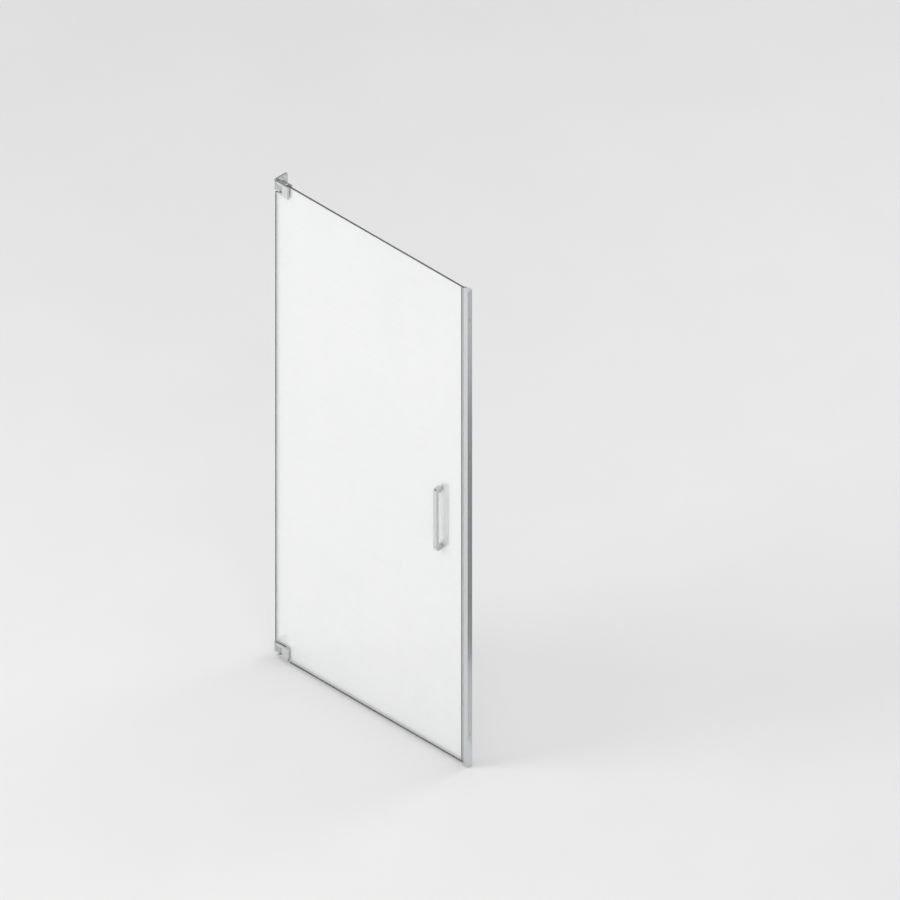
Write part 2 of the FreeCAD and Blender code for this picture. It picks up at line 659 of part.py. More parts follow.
node("handle_grub_screws", group("handle_grub_group", grubs))

# ---------------------------------------------------------------- the seals on the glass
li, lo = d("lip_in"), d("lip_out")

# Hinge edge: clips over the glass between the hinges, with a fin towards the wall.
host = body("side_seal_body")
web = gl - 0.05
sk = outline(host, "side_seal_outline", "XY_Plane", [
    (d("side_seal_leg"), -lo), (web - 1.15, -lo), (web - 1.15, size(-0.6)),
    (d("side_seal_tip"), size(-0.6)), (d("side_seal_tip"), size(0.6)),
    (web - 1.15, size(0.6)), (web - 1.15, lo), (d("side_seal_leg"), lo),
    (d("side_seal_leg"), li), (web, li), (web, -li), (d("side_seal_leg"), -li)],
    d("side_seal_low"))
pad(host, "side_seal_pad", sk, HIGH - d("side_seal_low") * 2)
node("hinge_side_seal", host)

# Bottom edge: clips over the glass, with a soft lip and a flap that leads water in.
host = body("bottom_seal_body")
lid = gb - 0.1
sk = outline(host, "bottom_seal_outline", "YZ_Plane", [
    (-lo, d("drip_top")), (-lo, lid - 1.2), (size(-0.6), lid - 1.2), (size(-0.6), d("drip_low")),
    (size(0.6), d("drip_low")), (size(0.6), lid - 1.2), (size(4.4), lid - 1.2),
    (size(8.2), d("drip_low") + 0.4), (size(9.0), d("drip_low") + 1.2), (lo, lid + 0.2),
    (lo, d("drip_top")), (li, d("drip_top")), (li, lid), (-li, lid), (-li, d("drip_top"))],
    d("drip_left"))
pad(host, "bottom_seal_pad", sk, d("drip_right") - d("drip_left"))
node("bottom_seal", host)

# Closing edge: clips over the glass, with a pocket for the magnet strip.
host = body("magnet_seal_body")
mf = d("mag_face")
sk = outline(host, "magnet_seal_outline", "XY_Plane", [
    (d("mag_left"), -lo), (mf, -lo), (mf, lo), (d("mag_left"), lo),
    (d("mag_left"), li), (gr + 0.1, li), (gr + 0.1, -li), (d("mag_left"), -li)], gb)
pad(host, "magnet_seal_pad", sk, gt - gb)
pocket = box("magnet_seal_pocket", gr + 1.6, mf - 0.9, size(-3.9), size(3.9), gb - 1, gt + 1)
node("door_magnet_seal", cut("magnet_seal_cut", host, pocket))
node("door_magnet_strip", box("door_magnet_box", gr + 1.7, mf - 1.0, size(-3.8), size(3.8),
                              gb + 2, gt - 2))

# ---------------------------------------------------------------- the strike side
sl, sw, se, sh = d("strike_left"), d("strike_web"), d("strike_end"), d("strike_half")
cl, ch, cw = d("chan_left"), d("chan_half"), d("chan_wall")
wall = d("opening_w")
base = wall - d("chan_base")
cz0, cz1 = d("chan_low"), d("chan_high")

host = body("channel_body")
sk = outline(host, "channel_outline", "XY_Plane", [
    (cl, -ch), (wall, -ch), (wall, ch), (cl, ch), (cl, ch - cw), (base, ch - cw),
    (base, cw - ch), (cl, cw - ch)], cz0)
pad(host, "channel_pad", sk, cz1 - cz0)
tools = [rod("channel_hole_" + c, "+x", base - 1, 0, d("chan_hole_" + c), d("chan_hole_rad"),
             d("chan_base") + 2) for c in "abcd"]
adjust = [d("adjust_low") + d("adjust_step") * k for k in range(3)]
tools += [rod("channel_side_hole_%d" % k, "+y", d("adjust_x"), ch - cw - 1, z, size(2.0), cw + 2)
          for k, z in enumerate(adjust)]
node("wall_channel", cut("channel_cut", host, *tools))

# The strike profile slides in the channel to take up an uneven wall. Its front is a
# groove for the strike seal, and its back is open.
host = body("strike_body")
sk = outline(host, "strike_outline", "XY_Plane", [
    (sl, -sh), (se, -sh), (se, 1.3 - sh), (sw + 1.5, 1.3 - sh), (sw + 1.5, sh - 1.3), (se, sh - 1.3),
    (se, sh), (sl, sh), (sl, sh - 2.0), (sl + 1.2, sh - 2.0), (sl + 1.2, sh - 1.3), (sw, sh - 1.3),
    (sw, 1.3 - sh), (sl + 1.2, 1.3 - sh), (sl + 1.2, 2.0 - sh), (sl, 2.0 - sh)], cz0)
pad(host, "strike_pad", sk, cz1 - cz0)
tools = [rod("strike_side_hole_%d" % k, "+y", d("adjust_x"), sh - 2.3, z, size(1.77), size(3.3))
         for k, z in enumerate(adjust)]
node("strike_profile", cut("strike_cut", host, *tools))

# The strike seal fills the groove, holds the second magnet strip and has the lip that
# the closed door stands against.
host = body("strike_seal_body")
sf = d("strike_face")
sk = outline(host, "strike_seal_outline", "XY_Plane", [
    (sf, 2.1 - sh), (sl + 1.25, 2.1 - sh), (sl + 1.25, 1.4 - sh), (sw - 0.05, 1.4 - sh),
    (sw - 0.05, sh - 1.4), (sl + 1.25, sh - 1.4), (sl + 1.25, sh - 2.1), (sf, sh - 2.1),
    (sf - 1.0, lo + 1.7), (size(913.0), lo + 1.7), (size(913.0), lo + 0.6), (sf, lo + 0.6)], cz0)
pad(host, "strike_seal_pad", sk, cz1 - cz0)
pocket = box("strike_seal_pocket", sf + 0.9, sf + 4.5, size(-3.9), size(3.9), cz0 - 1, cz1 + 1)
node("strike_seal", cut("strike_seal_cut", host, pocket))
node("strike_magnet_strip", box("strike_magnet_box", sf + 1.0, sf + 4.4, size(-3.8), size(3.8),
                                cz0 + 2, cz1 - 2))

for name, z, way in (("channel_top_cap", cz1, 1), ("channel_bottom_cap", cz0, -1)):
    t = d("cap_thick")
    z0, z1 = (z, z + t) if way > 0 else (z - t, z)
    p0, p1 = (z - 8, z + t) if way > 0 else (z - t, z + 8)
    lid_ = box(name + "_lid", sl, wall, -ch, ch, z0, z1)
    plug = box(name + "_plug", sw + 1.6, wall - 4.5, 1.5 - sh, sh - 1.5, p0, p1)
    blank = fuse(name + "_fuse", lid_, plug)
    blank.Refine = True
    node(name, blank)

screws = []
for k, z in enumerate(adjust):
    head = cone("adjust_head_%d" % k, "+y", d("adjust_x"), ch, z, size(3.4), size(2.5), size(1.9))
    stem = rod("adjust_stem_%d" % k, "-y", d("adjust_x"), ch + 0.5, z, size(1.75), size(4.6))
    key = hexagon("adjust_key_%d" % k, "+y", d("adjust_x"), ch + 0.8, z, size(1.2), size(2.0))
    screws.append(cut("adjust_screw_%d" % k, fuse("adjust_blank_%d" % k, head, stem), key))
node("adjusting_screws", group("adjusting_group", screws))

# ---------------------------------------------------------------- check and write
doc.recompute()
bad = []
for obj in doc.Objects:
    if "Invalid" in obj.State or "Error" in obj.State:
        bad.append("%s: %s" % (obj.Name, ", ".join(obj.State)))
for label, obj in NODES:
    shape = obj.Shape
    if shape.isNull() or not shape.isValid() or not shape.Solids:
        bad.append(label + ": no sound solid")
labels = [label for label, _ in NODES]
if len(set(labels)) != len(labels):
    bad.append("two parts share a label")
if bad:
    raise RuntimeError("; ".join(bad))

os.makedirs("parts", exist_ok=True)
for label, obj in NODES:
    obj.Shape.exportStep("parts/%s.step" % label)
    b = obj.Shape.BoundBox
    print("%-28s %2d solid(s) %12.1f mm3  X %8.2f %8.2f  Y %7.2f %7.2f  Z %8.2f %8.2f" % (
        label, len(obj.Shape.Solids), obj.Shape.Volume, b.XMin, b.XMax, b.YMin, b.YMax, b.ZMin, b.ZMax))
print(len(NODES), "parts written")
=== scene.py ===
import json
import math
import bpy
import bmesh
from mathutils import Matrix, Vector


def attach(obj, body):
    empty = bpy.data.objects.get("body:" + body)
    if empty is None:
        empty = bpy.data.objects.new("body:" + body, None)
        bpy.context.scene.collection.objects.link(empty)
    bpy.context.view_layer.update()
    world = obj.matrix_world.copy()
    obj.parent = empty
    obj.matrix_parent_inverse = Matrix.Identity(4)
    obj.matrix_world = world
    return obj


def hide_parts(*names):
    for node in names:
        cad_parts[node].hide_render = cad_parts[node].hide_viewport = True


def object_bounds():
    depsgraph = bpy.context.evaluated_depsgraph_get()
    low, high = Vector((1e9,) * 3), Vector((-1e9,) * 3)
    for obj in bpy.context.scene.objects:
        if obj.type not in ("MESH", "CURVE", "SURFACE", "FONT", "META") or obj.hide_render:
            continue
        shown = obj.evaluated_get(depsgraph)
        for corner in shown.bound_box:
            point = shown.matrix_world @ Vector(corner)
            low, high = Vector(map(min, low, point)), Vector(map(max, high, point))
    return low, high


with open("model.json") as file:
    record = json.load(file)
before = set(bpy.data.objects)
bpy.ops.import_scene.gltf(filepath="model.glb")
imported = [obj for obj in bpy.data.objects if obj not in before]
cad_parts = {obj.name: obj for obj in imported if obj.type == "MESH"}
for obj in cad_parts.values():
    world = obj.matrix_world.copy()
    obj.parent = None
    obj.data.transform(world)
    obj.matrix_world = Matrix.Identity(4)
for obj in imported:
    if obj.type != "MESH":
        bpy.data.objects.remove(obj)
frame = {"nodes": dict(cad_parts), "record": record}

cad_low, cad_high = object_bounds()
nodes = frame["nodes"]
MM = 0.001


# ------------------------------------------------------------------ camera
# True isometric view of the outside: 45 degrees round, 35.264 degrees up.
AZ, EL = math.radians(45.0), math.radians(35.26439)
PX_PER_M = 291.5
right = Vector((math.cos(AZ), math.sin(AZ), 0.0))
back = Vector((math.sin(AZ) * math.cos(EL), -math.cos(AZ) * math.cos(EL), math.sin(EL)))
up = back.cross(right)
anchor = Vector((0.005, -0.005, 1.965))    # front edge of the upper wall plate, at the clamp's top
anchor_px = (275.1, 179.05)
target = (anchor - right * ((anchor_px[0] - 450.0) / PX_PER_M)
          - up * ((450.0 - anchor_px[1]) / PX_PER_M))
cam_data = bpy.data.cameras.new("Camera")
cam_data.type = "ORTHO"
cam_data.ortho_scale = 900.0 / PX_PER_M
cam_data.clip_end = 60.0
camera = bpy.data.objects.new("Camera", cam_data)
bpy.context.scene.collection.objects.link(camera)
camera.location = target + back * 8.0
camera.rotation_mode = "QUATERNION"
camera.rotation_quaternion = (-back).to_track_quat("-Z", "Y")
bpy.context.scene.camera = camera
bpy.context.scene.view_settings.view_transform = "Standard"
bpy.context.scene.view_settings.look = "None"


# ------------------------------------------------------------------ materials
class Mat:
    """A material and short ways to add nodes to it."""

    def __init__(self, name):
        self.m = bpy.data.materials.new(name)
        self.m.use_nodes = True
        self.t = self.m.node_tree
        self.t.nodes.clear()
        self.out = self.t.nodes.new("ShaderNodeOutputMaterial")
        self.p = self.t.nodes.new("ShaderNodeBsdfPrincipled")
        self.link(self.p.outputs[0], self.out.inputs["Surface"])
        self.coords = self.t.nodes.new("ShaderNodeTexCoord").outputs["Object"]

    def link(self, a, b):
        self.t.links.new(a, b)

    def node(self, kind):
        return self.t.nodes.new(kind)

    def set(self, **values):
        for k, v in values.items():
            self.p.inputs[k.replace("_", " ")].default_value = v
        return self

    def stretched(self, x, y, z):
        n = self.node("ShaderNodeMapping")
        n.inputs["Scale"].default_value = (x, y, z)
        self.link(self.coords, n.inputs["Vector"])
        return n.outputs[0]

    def noise(self, scale, detail=3.0, rough=0.5, vector=None):
        n = self.node("ShaderNodeTexNoise")
        n.inputs["Scale"].default_value = scale
        n.inputs["Detail"].default_value = detail
        n.inputs["Roughness"].default_value = rough
        self.link(vector or self.coords, n.inputs["Vector"])
        return n.outputs["Fac"]

    def span(self, fac, lo, hi, a=0.3, b=0.7):
        n = self.node("ShaderNodeMapRange")
        n.inputs["From Min"].default_value = a
        n.inputs["From Max"].default_value = b
        n.inputs["To Min"].default_value = lo
        n.inputs["To Max"].default_value = hi
        self.link(fac, n.inputs["Value"])
        return n.outputs[0]

    def ramp(self, fac, *stops):
        n = self.node("ShaderNodeValToRGB")
        while len(n.color_ramp.elements) < len(stops):
            n.color_ramp.elements.new(0.5)
        for e, (pos, col) in zip(n.color_ramp.elements, stops):
            e.position = pos
            e.color = (*col, 1.0)
        self.link(fac, n.inputs["Fac"])
        return n.outputs["Color"]

    def mix(self, fac, a, b):
        n = self.node("ShaderNodeMix")
        n.data_type = "RGBA"
        self.link(fac, n.inputs[0])
        for sock, v in ((n.inputs[6], a), (n.inputs[7], b)):
            if isinstance(v, tuple):
                sock.default_value = (*v, 1.0)
            else:
                self.link(v, sock)
        return n.outputs[2]

    def math(self, op, a, b=0.0):
        n = self.node("ShaderNodeMath")
        n.operation = op
        for sock, v in ((n.inputs[0], a), (n.inputs[1], b)):
            if isinstance(v, (int, float)):
                sock.default_value = v
            else:
                self.link(v, sock)
        return n.outputs[0]

    def bump(self, height, strength, distance):
        n = self.node("ShaderNodeBump")
        n.inputs["Strength"].default_value = strength
        n.inputs["Distance"].default_value = distance
        self.link(height, n.inputs["Height"])
        self.link(n.outputs[0], self.p.inputs["Normal"])
        return self


def chrome():
    """Polished chrome on cast brass: bright, with faint clouding, hairline wipe marks
    and a little drying haze."""
    m = Mat("chrome")
    m.set(Metallic=1.0)
    cloud = m.noise(38.0, 4.0, 0.6)
    m.link(m.ramp(cloud, (0.30, (0.70, 0.705, 0.712)), (0.52, (0.76, 0.765, 0.77)),
                  (0.75, (0.73, 0.735, 0.742))), m.p.inputs["Base Color"])
    wipe = m.noise(1.0, 3.0, 0.6, m.stretched(160.0, 160.0, 2600.0))
    haze = m.noise(95.0, 5.0, 0.65)
    rough = m.math("ADD", m.span(haze, 0.10, 0.17), m.span(wipe, 0.0, 0.04))
    m.link(rough, m.p.inputs["Roughness"])
    m.bump(wipe, 0.05, 0.00004)
    return m.m


def satin():
    """Satin chrome: the same plating over a fine brushed ground, so it is softer. Its base tone is set below the
    bright chrome's as painted shade, and it is darker again along the brushed streaks."""
    m = Mat("satin_chrome")
    m.set(Metallic=1.0)
    brush = m.noise(1.0, 4.0, 0.65, m.stretched(260.0, 260.0, 5200.0))
    cloud = m.noise(60.0, 4.0, 0.6)
    # painted shade: base tones of 0.49 to 0.62, below the bright chrome's 0.70 to 0.77, so parts in this finish
    # read darker as if shaded
    m.link(m.mix(m.span(brush, 0.0, 0.55), m.ramp(cloud, (0.3, (0.55, 0.553, 0.558)), (0.7, (0.62, 0.623, 0.628))),
                 (0.49, 0.493, 0.497)), m.p.inputs["Base Color"])
    m.link(m.span(brush, 0.26, 0.36), m.p.inputs["Roughness"])
    m.bump(brush, 0.12, 0.00004)
    return m.m


def stainless():
    """Machined stainless steel: fine turning marks across the axis."""
    m = Mat("stainless")
    m.set(Metallic=1.0)
    turn = m.noise(1.0, 4.0, 0.6, m.stretched(900.0, 900.0, 5200.0))
    m.link(m.ramp(m.noise(120.0), (0.3, (0.46, 0.46, 0.465)), (0.7, (0.58, 0.58, 0.575))),
           m.p.inputs["Base Color"])
    m.link(m.span(turn, 0.2, 0.36), m.p.inputs["Roughness"])
    m.bump(turn, 0.25, 0.00005)
    return m.m


def aluminium():
    """Bright anodised extrusion: die lines run along its length."""
    m = Mat("bright_aluminium")
    m.set(Metallic=1.0)
    die = m.noise(1.0, 5.0, 0.7, m.stretched(2600.0, 2600.0, 9.0))
    m.link(m.ramp(die, (0.25, (0.60, 0.61, 0.62)), (0.5, (0.72, 0.73, 0.74)), (0.8, (0.66, 0.67, 0.68))),
           m.p.inputs["Base Color"])
    m.link(m.span(die, 0.17, 0.30), m.p.inputs["Roughness"])
    m.bump(die, 0.16, 0.00005)
    return m.m


def glass():
    """Clear toughened glass. The faces are clean with a faint wiped film, and the ground
    edges carry the green tint of the sheet, deepened to near black as painted shade."""
    m = Mat("safety_glass")
    points = [v.co for v in nodes["glass_panel"].data.vertices]
    low = [min(p[k] for p in points) for k in range(3)]
    high = [max(p[k] for p in points) for k in range(3)]
    thin = min(range(3), key=lambda k: high[k] - low[k])
    sep = m.node("ShaderNodeSeparateXYZ")
    m.link(m.coords, sep.inputs[0])                    # the sheet's own axes turn with the door
    depth = m.math("SUBTRACT", sep.outputs[thin], (low[thin] + high[thin]) / 2)
    side = m.math("ABSOLUTE", depth)
    edge = m.math("LESS_THAN", side, (high[thin] - low[thin]) / 2 * 0.995)     # 1 on the ground edges
    film = m.noise(3.2, 6.0, 0.62, m.stretched(1.0, 1.0, 0.55))
    wiped = m.noise(1.0, 3.0, 0.6, m.stretched(5.0, 5.0, 60.0))
    cloud = m.math("ADD", m.math("MULTIPLY", film, 0.7), m.math("MULTIPLY", wiped, 0.3))
    face = m.ramp(cloud, (0.35, (0.925, 0.934, 0.932)), (0.65, (0.95, 0.955, 0.953)))
    grind = m.noise(1.0, 4.0, 0.6, m.stretched(900.0, 3000.0, 900.0))
    # painted shade: the ground edges get a near-black tint with the sheet's green in it, in place of the dark look
    # a glass edge takes from refraction
    rim = m.ramp(grind, (0.3, (0.055, 0.07, 0.066)), (0.7, (0.09, 0.11, 0.105)))
    m.link(m.mix(edge, face, rim), m.p.inputs["Base Color"])
    veil = m.span(cloud, 0.47, 0.49, 0.35, 0.65)
    alpha = m.math("ADD", m.math("MULTIPLY", veil, m.math("SUBTRACT", 1.0, edge)),
                   m.math("MULTIPLY", edge, 0.93))
    m.link(alpha, m.p.inputs["Alpha"])
    rough = m.math("ADD", m.span(cloud, 0.02, 0.06, 0.35, 0.65), m.math("MULTIPLY", edge, 0.22))
    m.link(rough, m.p.inputs["Roughness"])
    m.set(IOR=1.52)
    m.bump(m.math("MULTIPLY", grind, edge), 0.1, 0.00004)
    return m.m


def seal(name, lo, hi, draw_tone, clear, along="z"):
    """Soft PVC with draw lines along it, clear in the body and darker in the lips."""
    m = Mat(name)
    draw = m.noise(1.0, 4.0, 0.6, m.stretched(*((1400.0, 1400.0, 7.0) if along == "z"
                                                else (7.0, 1400.0, 1400.0))))
    cloud = m.noise(24.0, 4.0, 0.6)
    m.link(m.mix(draw, m.ramp(cloud, (0.3, lo), (0.7, hi)), draw_tone), m.p.inputs["Base Color"])
    m.link(m.span(draw, 0.16, 0.32), m.p.inputs["Roughness"])
    if clear:
        m.link(m.span(cloud, clear, clear + 0.08), m.p.inputs["Alpha"])
    m.set(IOR=1.46)
    m.bump(draw, 0.12, 0.00005)
    return m.m


def plain(name, lo, hi, scale, rough, grain_scale, grain, metallic=0.0):
    m = Mat(name)
    m.set(Metallic=metallic)
    m.link(m.ramp(m.noise(scale, 4.0, 0.6), (0.3, lo), (0.7, hi)), m.p.inputs["Base Color"])
    g = m.noise(grain_scale, 3.0, 0.6)
    m.link(m.span(g, rough[0], rough[1]), m.p.inputs["Roughness"])
    m.bump(g, grain, 0.00005)
    return m.m


CLEAR = ((0.82, 0.835, 0.835), (0.89, 0.90, 0.90), (0.87, 0.88, 0.88), 0.18)
LIP = ((0.085, 0.088, 0.092), (0.125, 0.128, 0.132), (0.15, 0.153, 0.157), None)
BEAD = ((0.115, 0.118, 0.122), (0.16, 0.164, 0.168), (0.19, 0.194, 0.198), None)
MATS = {
    "chrome": chrome(),
    "satin_chrome": satin(),
    "stainless": stainless(),
    "bright_aluminium": aluminium(),
    "safety_glass": glass(),
    "clear_seal": seal("clear_seal", *CLEAR),
    "clear_seal_x": seal("clear_seal_x", *CLEAR, "x"),
    "seal_lip": seal("seal_lip", *LIP),
    "seal_bead": seal("seal_bead", *BEAD),
    "seal_lip_x": seal("seal_lip_x", *LIP, "x"),
    "magnet": plain("magnet", (0.64, 0.645, 0.65), (0.72, 0.725, 0.73), 300.0, (0.5, 0.7), 2500.0, 0.15),
    "cap_plastic": plain("cap_plastic", (0.50, 0.51, 0.52), (0.56, 0.57, 0.58), 260.0, (0.28, 0.4), 4200.0, 0.22),
    "acetal": plain("acetal", (0.035, 0.036, 0.04), (0.06, 0.06, 0.065), 420.0, (0.35, 0.5), 3600.0, 0.15),
    "gasket": plain("gasket", (0.30, 0.31, 0.32), (0.38, 0.39, 0.40), 360.0, (0.55, 0.75), 3000.0, 0.25),
}
for part in frame["record"]["subparts"]:
    ob = nodes[part["node"]]
    ob.data.materials.clear()
    ob.data.materials.append(MATS[part["material_slot"]])


# ------------------------------------------------------------------ seals, as modelled extrusions
def arcs(points, steps=4):
    """Rounds the corners of a closed outline. Each point is (x, y, radius)."""
    n = len(points)
    result = []
    for i, (x, y, rad) in enumerate(points):
        p = Vector((x, y))
        a = Vector(points[i - 1][:2]) - p
        b = Vector(points[(i + 1) % n][:2]) - p
        if rad <= 0.0:
            result.append(p)
            continue
        turn = a.angle(b)
        reach = min(rad / math.tan(turn / 2), a.length * 0.49, b.length * 0.49)
        rad = reach * math.tan(turn / 2)
        start, end = p + a.normalized() * reach, p + b.normalized() * reach
        centre = p + (a.normalized() + b.normalized()).normalized() * (rad / math.sin(turn / 2))
        sweep = math.pi - turn
        s = start - centre
        cross = (start - centre).cross(end - centre)
        for k in range(steps + 1):
            t = sweep * k / steps * (1 if cross > 0 else -1)
            result.append(centre + Vector((s.x * math.cos(t) - s.y * math.sin(t),
                                           s.x * math.sin(t) + s.y * math.cos(t))))
    return result


def extrude(name, outlines, axis, start, end, body, rings=2, drift=None, lip=None, tint="lip"):
    """A straight extrusion of one or more closed outlines (mm), the first the outer one
    and the others hollows in it. axis is "x" or "z"; drift(u, v, t) may move a point a
    little along the length, and lip(u, v) is true where the soft lip begins."""
    bm = bmesh.new()
    place = ((lambda u, v, t: Vector((t, u, v))) if axis == "x" else
             (lambda u, v, t: Vector((u, v, t))))
    loops = []
    for line in outlines:
        levels = []
        for r in range(rings):
            t = start + (end - start) * r / (rings - 1)
            row = []
            for q in line:
                u, v = (drift(q.x, q.y, t) if drift else (q.x, q.y))
                row.append(bm.verts.new(place(u * MM, v * MM, t * MM)))
            levels.append(row)
        for lo_, hi_ in zip(levels, levels[1:]):
            for i in range(len(line)):
                j = (i + 1) % len(line)
                bm.faces.new((lo_[i], lo_[j], hi_[j], hi_[i]))
        loops.append(levels)
    for level in (0, rings - 1):
        edges = []
        for levels in loops:
            row = levels[level]
            edges += [bm.edges.get((row[i], row[(i + 1) % len(row)])) for i in range(len(row))]
        bmesh.ops.triangle_fill(bm, use_beauty=True, use_dissolve=False, edges=edges)
    bmesh.ops.recalc_face_normals(bm, faces=bm.faces)
    mesh = bpy.data.meshes.new(name)
    bm.to_mesh(mesh)
    bm.free()
    suffix = "_x" if axis == "x" else ""
    mesh.materials.append(MATS["clear_seal" + suffix])
    mesh.materials.append(MATS["seal_" + tint + suffix])
    for poly in mesh.polygons:
        poly.use_smooth = True
        c = poly.center / MM
        u, v = (c.y, c.z) if axis == "x" else (c.x, c.y)
        poly.material_index = 1 if lip and lip(u, v) else 0
    mesh.set_sharp_from_angle(angle=math.radians(32.0))
    ob = bpy.data.objects.new(name, mesh)
    bpy.context.scene.collection.objects.link(ob)
    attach(ob, body)
    return ob


def wave(t, k):
    return math.sin(t * 0.0061 * k + 0.7 * k) * 0.6 + math.sin(t * 0.0173 * k + 1.9) * 0.4


# Hinge edge: two legs over the glass, a web, and a fin that leans in towards the wall.
side = arcs([
    (14.0, -4.3, 0.3), (13.6, -5.15, 0.4), (9.4, -5.15, 0.0), (5.9, -5.15, 1.0), (4.83, -4.6, 0.8),
    (4.83, -1.0, 0.6),
    (3.4, -0.3, 1.2), (2.0, 0.3, 0.8), (1.25, 0.85, 0.2), (1.5, 1.3, 0.2), (2.4, 0.95, 0.8),
    (3.8, 0.5, 1.2), (4.83, 1.1, 0.6), (4.83, 4.6, 0.8), (5.9, 5.15, 1.0), (13.6, 5.15, 0.4),
    (14.0, 4.3, 0.3), (13.4, 4.08, 0.2), (5.95, 4.08, 0.3), (5.95, -4.08, 0.3), (9.4, -4.08, 0.0),
    (13.4, -4.08, 0.2)])


def side_drift(u, v, t):
    loose = max(0.0, (4.6 - u) / 3.4)
    return u, v + 0.3 * wave(t, 1.0) * loose ** 2


piece = extrude("hinge_side_seal_soft", [side], "z", 28.0, 1912.0, "door",
                rings=60, drift=side_drift, lip=lambda u, v: u < 9.0 and v < -0.5)
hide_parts("hinge_side_seal")

# Bottom edge: legs over the glass, a soft lip, and a flap that leads water back in.
drip = arcs([
    (-4.3, -14.0, 0.3), (-5.15, -14.4, 0.4), (-5.15, -25.4, 0.9), (-4.4, -26.25, 0.8),
    (-1.0, -26.25, 0.5), (-0.8, -28.5, 1.5), (-0.5, -35.95, 0.25), (0.3, -35.95, 0.25),
    (0.6, -28.5, 1.5), (0.95, -26.25, 0.5), (4.1, -26.25, 1.0), (6.3, -30.6, 2.0),
    (8.35, -35.3, 0.3), (8.85, -34.8, 0.3), (7.2, -30.2, 2.0), (5.15, -25.2, 1.0),
    (5.15, -14.4, 0.4), (4.3, -14.0, 0.3), (4.08, -14.6, 0.2), (4.08, -25.08, 0.3),
    (-4.08, -25.08, 0.3), (-4.08, -14.6, 0.2)])


def drip_drift(u, v, t):
    loose = max(0.0, (-27.0 - v) / 9.0)
    return u + 0.35 * wave(t, 1.3) * loose ** 2 * (1.0 if u < 4.0 else 0.3), v


piece = extrude("bottom_seal_soft", [drip], "x", 73.8, 909.5, "door",
                rings=40, drift=drip_drift, lip=lambda u, v: v < -26.4)
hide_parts("bottom_seal")

# Closing edge: legs over the glass and a pocket round the magnet.
mag = arcs([
    (907.4, -4.35, 0.3), (907.9, -5.15, 0.4), (912.9, -5.15, 0.0), (915.8, -5.15, 2.0),
    (917.6, -4.85, 2.0), (924.4, -4.85, 0.8), (925.0, -4.2, 0.5), (925.0, 4.2, 0.5),
    (924.4, 4.85, 0.8), (917.6, 4.85, 2.0), (915.8, 5.15, 2.0), (912.9, 5.15, 0.0),
    (907.9, 5.15, 0.4), (907.4, 4.35, 0.3), (908.0, 4.08, 0.2), (912.9, 4.08, 0.0), (916.1, 4.08, 0.3),
    (916.1, -4.08, 0.3), (912.9, -4.08, 0.0), (908.0, -4.08, 0.2)])
hole = arcs([(917.6, -3.9, 0.1), (924.1, -3.9, 0.1), (924.1, 3.9, 0.1), (917.6, 3.9, 0.1)], 2)
piece = extrude("door_magnet_seal_soft", [mag, hole], "z", -25.0, 1963.0, "door",
                rings=3, lip=lambda u, v: u < 912.8 and v < -4.0, tint="bead")
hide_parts("door_magnet_seal")

# Strike: sits in the profile's groove, with the magnet behind its face and the stop lip.
stop = arcs([
    (925.5, -7.1, 0.3), (927.2, -7.1, 0.1), (927.2, -7.85, 0.1), (930.9, -7.85, 0.2), (930.9, 7.85, 0.2),
    (927.2, 7.85, 0.1), (927.2, 7.15, 0.1), (925.6, 7.15, 0.8), (924.4, 6.95, 1.0), (918.0, 6.75, 3.0),
    (913.4, 6.95, 0.3), (913.05, 6.4, 0.25), (914.0, 6.05, 0.6), (918.5, 5.9, 3.0), (924.6, 5.85, 0.6),
    (925.5, 5.2, 0.4)])
hole = arcs([(926.4, -3.9, 0.1), (930.0, -3.9, 0.1), (930.0, 3.9, 0.1), (926.4, 3.9, 0.1)], 2)
piece = extrude("strike_seal_soft", [stop, hole], "z", -36.0, 1963.0, "wall_side",
                rings=3, lip=lambda u, v: v > 5.6 and u < 922.0)
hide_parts("strike_seal")


# ------------------------------------------------------------------ studio
def floor_material():
    m = Mat("studio_floor")
    m.link(m.ramp(m.noise(2.2, 4.0, 0.5), (0.35, (0.74, 0.74, 0.74)), (0.65, (0.75, 0.75, 0.75))),
           m.p.inputs["Base Color"])
    m.set(Roughness=0.9, Specular_IOR_Level=0.1)
    return m.m


bm = bmesh.new()
bmesh.ops.create_grid(bm, x_segments=2, y_segments=2, size=9.0)
mesh = bpy.data.meshes.new("studio_floor")
bm.to_mesh(mesh)
bm.free()
mesh.materials.append(floor_material())
floor = bpy.data.objects.new("studio_floor", mesh)
floor.location = (0.45, 0.0, cad_low.z - 0.0004)
bpy.context.scene.collection.objects.link(floor)

world = bpy.data.worlds.new("studio")
bpy.context.scene.world = world
world.use_nodes = True
wt = world.node_tree
wt.nodes.clear()
w_out = wt.nodes.new("ShaderNodeOutputWorld")
w_bg = wt.nodes.new("ShaderNodeBackground")
w_co = wt.nodes.new("ShaderNodeTexCoord")
w_sep = wt.nodes.new("ShaderNodeSeparateXYZ")
w_ramp = wt.nodes.new("ShaderNodeValToRGB")
wt.links.new(w_co.outputs["Generated"], w_sep.inputs[0])
wt.links.new(w_sep.outputs["Z"], w_ramp.inputs["Fac"])
for place, tone in ((0.12, 0.44), (0.34, 0.80), (0.58, 0.90)):
    w_ramp.color_ramp.elements.new(place).color = (tone, tone, tone, 1.0)
w_ramp.color_ramp.elements[0].color = (0.36, 0.36, 0.365, 1.0)
w_ramp.color_ramp.elements[-1].color = (1.0, 1.0, 1.0, 1.0)
wt.links.new(w_ramp.outputs["Color"], w_bg.inputs["Color"])
w_bg.inputs["Strength"].default_value = 0.9
wt.links.new(w_bg.outputs[0], w_out.inputs["Surface"])


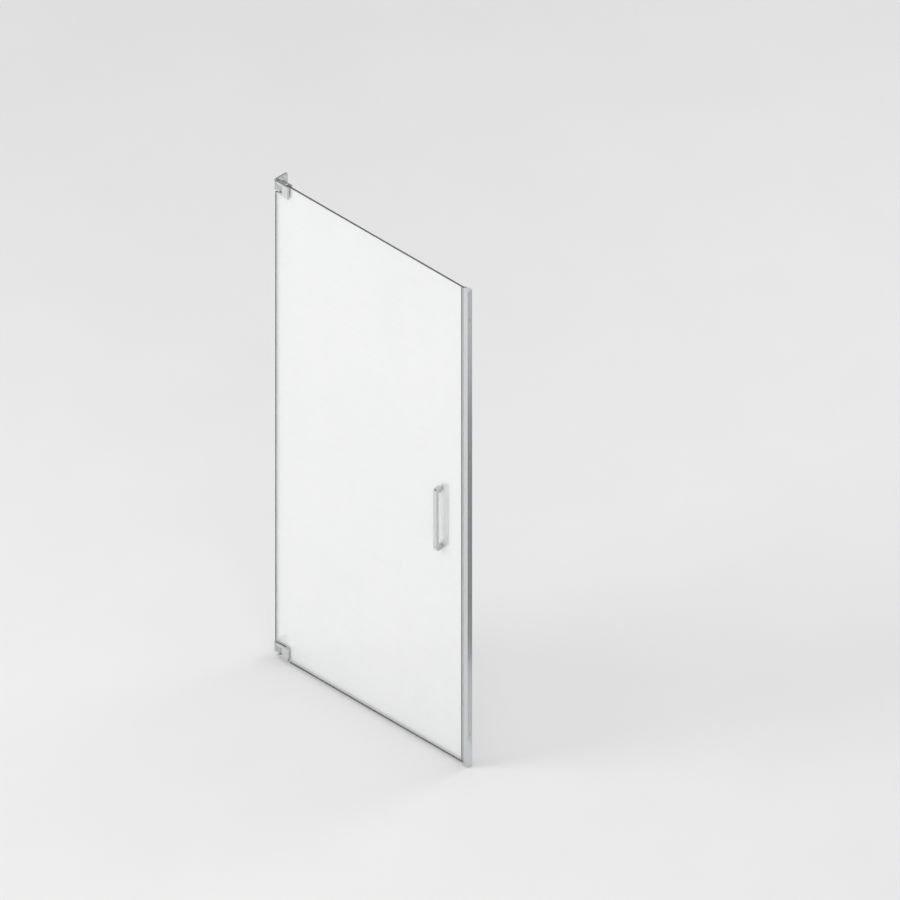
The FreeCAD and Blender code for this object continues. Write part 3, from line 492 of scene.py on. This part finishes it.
def lamp(name, place, aim, size, watts):
    data = bpy.data.lights.new(name, "AREA")
    data.shape = "DISK"
    data.size = size
    data.energy = watts
    ob = bpy.data.objects.new(name, data)
    ob.location = place
    ob.rotation_mode = "QUATERNION"
    ob.rotation_quaternion = (Vector(aim) - Vector(place)).to_track_quat("-Z", "Y")
    bpy.context.scene.collection.objects.link(ob)
    return ob


lamp("key", (-3.0, -5.2, 5.0), (0.5, 0.0, 0.9), 4.0, 190.0)
lamp("fill", (4.6, -3.4, 3.8), (0.5, 0.0, 0.9), 3.6, 50.0)
lamp("rim", (1.6, 5.0, 4.4), (0.5, 0.0, 0.9), 3.0, 60.0)


def card(name, centre, aim, wide, tall, tone):
    """A grey studio card. Only reflections see it, so it gives the polished faces their
    darker sides and edges without shading the floor or showing itself."""
    m = Mat(name)
    m.set(Base_Color=(0.0, 0.0, 0.0, 1.0), Emission_Color=(tone, tone, tone, 1.0),
          Emission_Strength=1.0, Specular_IOR_Level=0.0)
    c = Vector(centre)
    turn = (Vector(aim) - c).to_track_quat("Z", "Y").to_matrix()
    mesh = bpy.data.meshes.new(name)
    mesh.from_pydata([c + turn @ Vector((x * wide / 2, y * tall / 2, 0.0))
                      for x, y in ((-1, -1), (1, -1), (1, 1), (-1, 1))], [], [(0, 1, 2, 3)])
    mesh.materials.append(m.m)
    ob = bpy.data.objects.new(name, mesh)
    bpy.context.scene.collection.objects.link(ob)
    for flag in ("visible_camera", "visible_diffuse", "visible_shadow", "visible_transmission",
                 "visible_volume_scatter"):
        setattr(ob, flag, False)


low_z = cad_low.z - 0.0002
card("card_right", (3.1, 3.1, low_z), (3.1, 3.1, 5.0), 6.0, 6.0, 0.62)
card("card_low_right", (2.0, 1.05, low_z + 0.002), (2.0, 1.05, 5.0), 1.5, 1.2, 0.30)
card("card_front", (3.3, -1.7, low_z), (3.3, -1.7, 5.0), 4.6, 2.2, 0.18)
card("card_front_far", (2.6, -3.9, low_z), (2.6, -3.9, 5.0), 6.0, 2.2, 0.16)
card("card_sky_left", (-2.7, 2.7, 3.7), (0.4, 0.0, 1.0), 4.4, 4.4, 0.34)
card("card_sky_front", (-2.6, -2.6, 3.7), (0.4, 0.0, 1.0), 3.2, 3.8, 0.24)
card("card_sky_right", (3.6, 2.9, 3.9), (0.5, 0.0, 1.0), 3.6, 4.0, 0.28)
